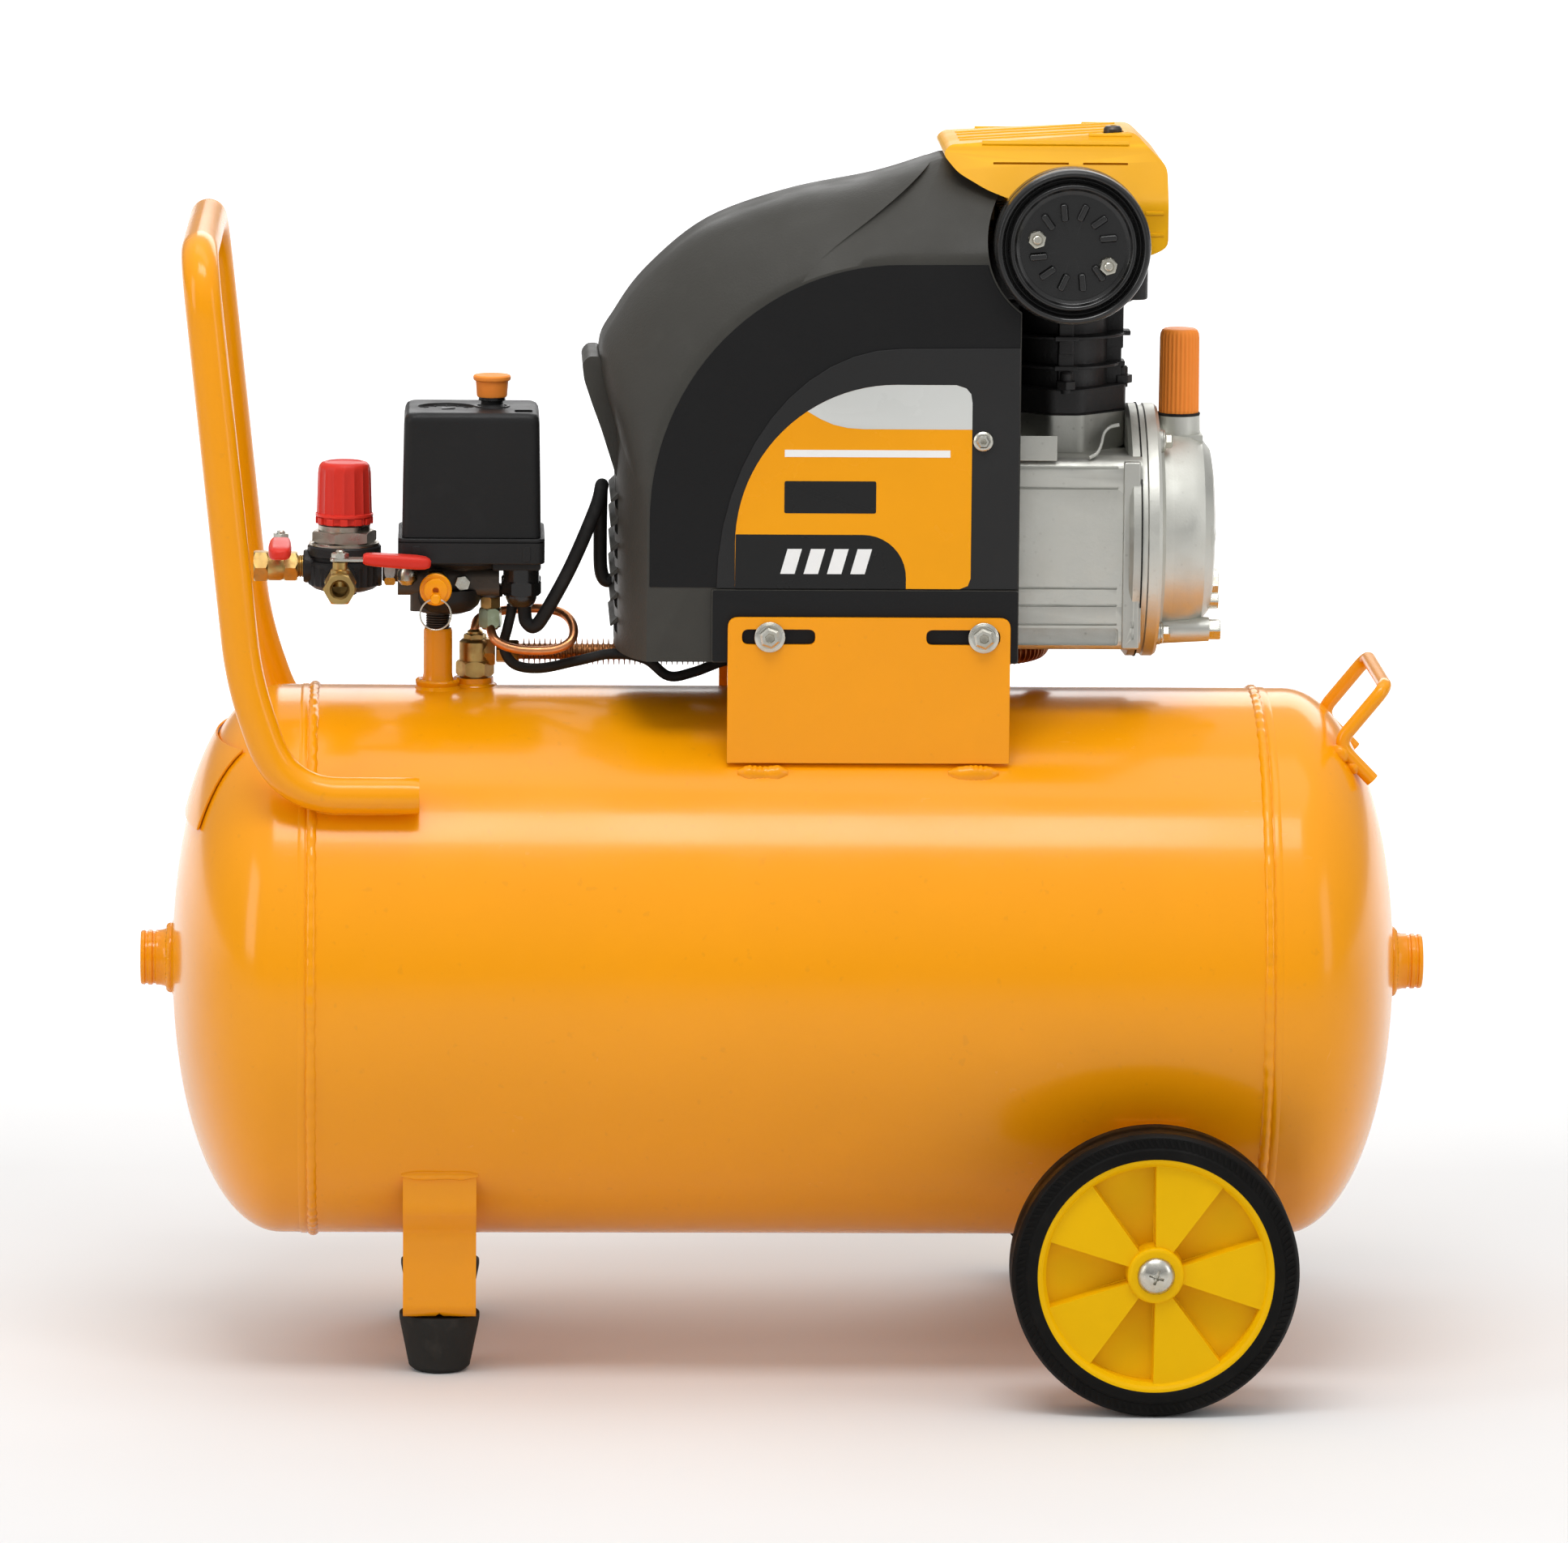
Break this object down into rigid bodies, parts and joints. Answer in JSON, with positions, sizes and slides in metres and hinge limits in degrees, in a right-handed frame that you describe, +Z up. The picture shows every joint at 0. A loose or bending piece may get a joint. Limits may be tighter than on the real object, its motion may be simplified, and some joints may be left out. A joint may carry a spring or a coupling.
{
  "type": "air compressor",
  "caption": "Portable piston air compressor: a lying cylindrical tank with wheels, feet and handles under a shrouded motor and pump with switch, regulator and outlet valves.",
  "frame": {"origin": "on the floor under the middle of the tank", "axes": "+X along the tank towards the wheels, +Y to the rear, +Z up"},
  "size_m": [0.728, 0.406, 0.697],
  "materials": {
    "tank_paint": "gloss orange-yellow enamel",
    "yellow_plastic": "satin yellow moulding",
    "tyre": "matt black solid tyre",
    "foot_rubber": "matt black rubber",
    "lead_sheath": "satin black sheath",
    "shroud_plastic": "textured charcoal",
    "black_plastic": "fine textured black",
    "zinc": "zinc plated",
    "steel": "ground steel",
    "cast_aluminium": "as cast, bead blasted",
    "black_iron": "black painted casting",
    "brass": "plain brass",
    "copper": "plain copper",
    "red_plastic": "red moulding",
    "orange_plastic": "orange moulding",
    "lens": "clear"
  },
  "bodies": {
    "compressor": {"tank_shell": "tank_paint", "tank_end_left": "tank_paint", "tank_end_right": "tank_paint", "end_plug_left": "tank_paint", "end_plug_right": "tank_paint", "riser_pipe": "tank_paint", "push_handle": "tank_paint", "lift_handle": "tank_paint", "leg_bracket": "tank_paint", "wheel_bracket": "tank_paint", "motor_bracket": "tank_paint", "head_cover": "yellow_plastic", "foot_front": "foot_rubber", "foot_rear": "foot_rubber", "motor_lead": "lead_sheath", "second_lead": "lead_sheath", "motor_shroud": "shroud_plastic", "switch_base": "black_plastic", "switch_cover": "black_plastic", "air_filter": "black_plastic", "axle_bolt_front": "zinc", "axle_bolt_rear": "zinc", "bracket_bolt_front_left": "zinc", "bracket_bolt_front_right": "zinc", "bracket_bolt_rear_left": "zinc", "bracket_bolt_rear_right": "zinc", "stator": "steel", "crankcase": "cast_aluminium", "crankcase_cover": "cast_aluminium", "cylinder": "black_iron", "cylinder_head": "black_iron", "manifold": "black_iron", "regulator_body": "black_iron", "tank_gauge": "black_iron", "outlet_gauge": "black_iron", "check_valve": "brass", "front_valve_body": "brass", "side_valve_body": "brass", "drain_valve": "brass", "delivery_pipe": "copper", "unloader_tube": "copper", "safety_valve": "orange_plastic", "sight_glass": "lens"},
    "wheel_front": {"tyre_front": "tyre", "wheel_rim_front": "yellow_plastic"},
    "wheel_rear": {"tyre_rear": "tyre", "wheel_rim_rear": "yellow_plastic"},
    "rotor": {"rotor_shaft": "steel", "cooling_fan": "black_plastic"},
    "piston": {"piston": "cast_aluminium"},
    "rod": {"connecting_rod": "cast_aluminium"},
    "switch_knob": {"switch_knob": "orange_plastic"},
    "regulator_knob": {"regulator_knob": "red_plastic"},
    "front_lever": {"front_valve_lever": "red_plastic"},
    "side_lever": {"side_valve_lever": "red_plastic"},
    "pull_ring": {"safety_ring": "zinc"},
    "tank_needle": {"tank_gauge_needle": "black_plastic"},
    "outlet_needle": {"outlet_gauge_needle": "black_plastic"},
    "drain_screw": {"drain_screw": "brass"},
    "oil_plug": {"oil_plug": "orange_plastic"}
  },
  "joints": [
    {"name": "wheel_front_spin", "type": "hinge", "parent": "compressor", "child": "wheel_front", "pos_m": [0.2015, -0.181, 0.0797], "axis": [0, 1, 0], "continuous": true},
    {"name": "wheel_rear_spin", "type": "hinge", "parent": "compressor", "child": "wheel_rear", "pos_m": [0.2015, 0.181, 0.0797], "axis": [0, 1, 0], "continuous": true},
    {"name": "motor_spin", "type": "hinge", "parent": "compressor", "child": "rotor", "pos_m": [0.02, 0, 0.469], "axis": [1, 0, 0], "continuous": true},
    {"name": "piston_stroke", "type": "slide", "parent": "compressor", "child": "piston", "axis": [0, 0, 1], "range_m": [0, 0.038]},
    {"name": "rod_swing", "type": "hinge", "parent": "piston", "child": "rod", "pos_m": [0.155, 0, 0.545], "axis": [1, 0, 0], "range_deg": [-11.5, 11.5]},
    {"name": "switch_press", "type": "slide", "parent": "compressor", "child": "switch_knob", "axis": [0, 0, 1], "range_m": [-0.004, 0]},
    {"name": "regulator_turn", "type": "hinge", "parent": "compressor", "child": "regulator_knob", "pos_m": [-0.2492, 0, 0.485], "axis": [0, 0, 1], "range_deg": [-540, 540]},
    {"name": "front_lever_turn", "type": "hinge", "parent": "compressor", "child": "front_lever", "pos_m": [-0.251, -0.045, 0.456], "axis": [0, 0, 1], "range_deg": [-90, 0]},
    {"name": "side_lever_turn", "type": "hinge", "parent": "compressor", "child": "side_lever", "pos_m": [-0.2849, 0, 0.461], "axis": [0, 0, 1], "range_deg": [-90, 0]},
    {"name": "pull_ring_swing", "type": "hinge", "parent": "compressor", "child": "pull_ring", "pos_m": [-0.1975, -0.05, 0.4343], "axis": [1, 0, 0], "range_deg": [-95, 10]},
    {"name": "tank_needle_turn", "type": "hinge", "parent": "compressor", "child": "tank_needle", "pos_m": [-0.1926, 0.049, 0.435], "axis": [0, -1, 0], "range_deg": [0, 270]},
    {"name": "outlet_needle_turn", "type": "hinge", "parent": "compressor", "child": "outlet_needle", "pos_m": [-0.2492, 0.034, 0.443], "axis": [0, -1, 0], "range_deg": [0, 270]},
    {"name": "drain_turn", "type": "hinge", "parent": "compressor", "child": "drain_screw", "pos_m": [-0.194, 0, 0.046], "axis": [0, 0, 1], "range_deg": [0, 540]},
    {"name": "oil_plug_lift", "type": "slide", "parent": "compressor", "child": "oil_plug", "axis": [0, 0, 1], "range_m": [0, 0.03]}
  ]
}
